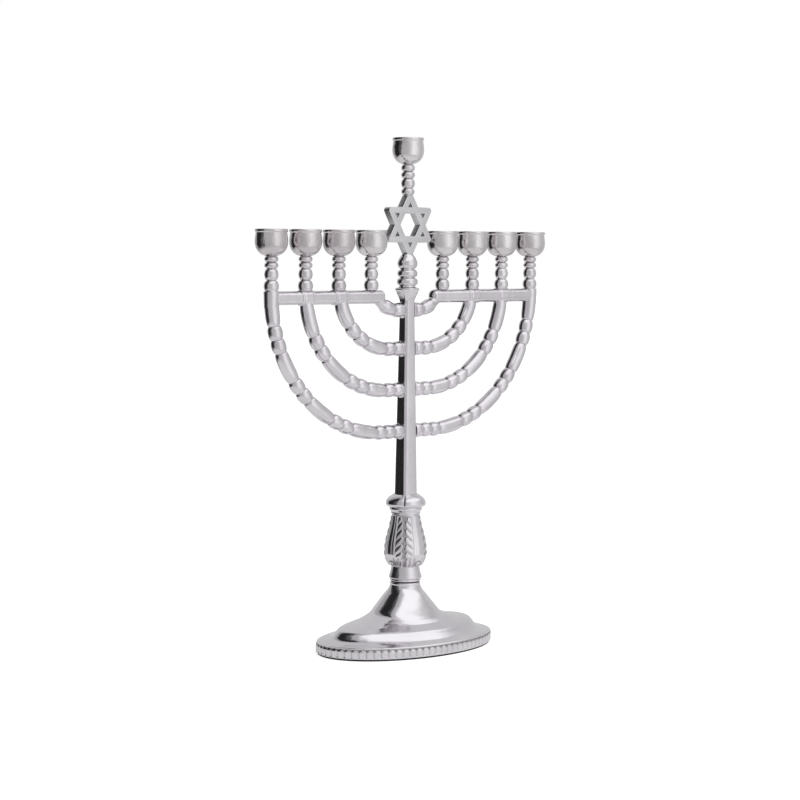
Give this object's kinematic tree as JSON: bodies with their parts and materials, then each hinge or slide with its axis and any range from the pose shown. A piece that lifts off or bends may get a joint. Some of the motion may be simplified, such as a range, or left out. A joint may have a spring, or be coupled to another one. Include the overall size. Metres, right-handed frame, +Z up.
{
  "type": "menorah",
  "caption": "Nine-branched candelabrum with an oval foot, beaded curved branches, turned spindles, cups and a star finial.",
  "frame": {"origin": "centre of the oval foot on the table", "axes": "+Z up, X along the row of cups, -Y towards the front"},
  "size_m": [0.2192, 0.076, 0.3],
  "materials": {
    "plated_cast": "bright nickel plate over cast brass",
    "plated_turned": "bright nickel plate over turned brass",
    "plated_satin": "satin nickel plate",
    "steel_fastener": "zinc plated steel",
    "baize": "black felt",
    "fibre": "black fibre"
  },
  "bodies": {
    "foot": {"foot_shell": "plated_cast", "foot_pad": "baize", "seam_washer": "fibre"},
    "candelabrum": {"tie_rod": "steel_fastener", "clamp_washer": "steel_fastener", "clamp_nut": "steel_fastener", "neck_collar": "plated_cast", "leaf_knop": "plated_cast", "cushion_ring": "plated_cast", "stem": "plated_cast", "branch_pins": "steel_fastener", "left_branch_1": "plated_cast", "left_branch_2": "plated_cast", "left_branch_3": "plated_cast", "left_branch_4": "plated_cast", "right_branch_1": "plated_cast", "right_branch_2": "plated_cast", "right_branch_3": "plated_cast", "right_branch_4": "plated_cast", "left_rail": "plated_cast", "right_rail": "plated_cast", "left_spindle_1": "plated_turned", "left_spindle_2": "plated_turned", "left_spindle_3": "plated_turned", "left_spindle_4": "plated_turned", "right_spindle_1": "plated_turned", "right_spindle_2": "plated_turned", "right_spindle_3": "plated_turned", "right_spindle_4": "plated_turned", "left_cup_1": "plated_turned", "left_cup_2": "plated_turned", "left_cup_3": "plated_turned", "left_cup_4": "plated_turned", "right_cup_1": "plated_turned", "right_cup_2": "plated_turned", "right_cup_3": "plated_turned", "right_cup_4": "plated_turned", "cup_studs": "steel_fastener", "finial": "plated_turned", "finial_studs": "steel_fastener", "star": "plated_satin", "centre_spindle": "plated_turned", "centre_stud": "steel_fastener", "centre_cup": "plated_turned"}
  },
  "joints": [
    {"name": "branches_turn", "type": "hinge", "parent": "foot", "child": "candelabrum", "pos_m": [0, 0, 0.0395], "axis": [0, 0, 1], "continuous": true}
  ]
}
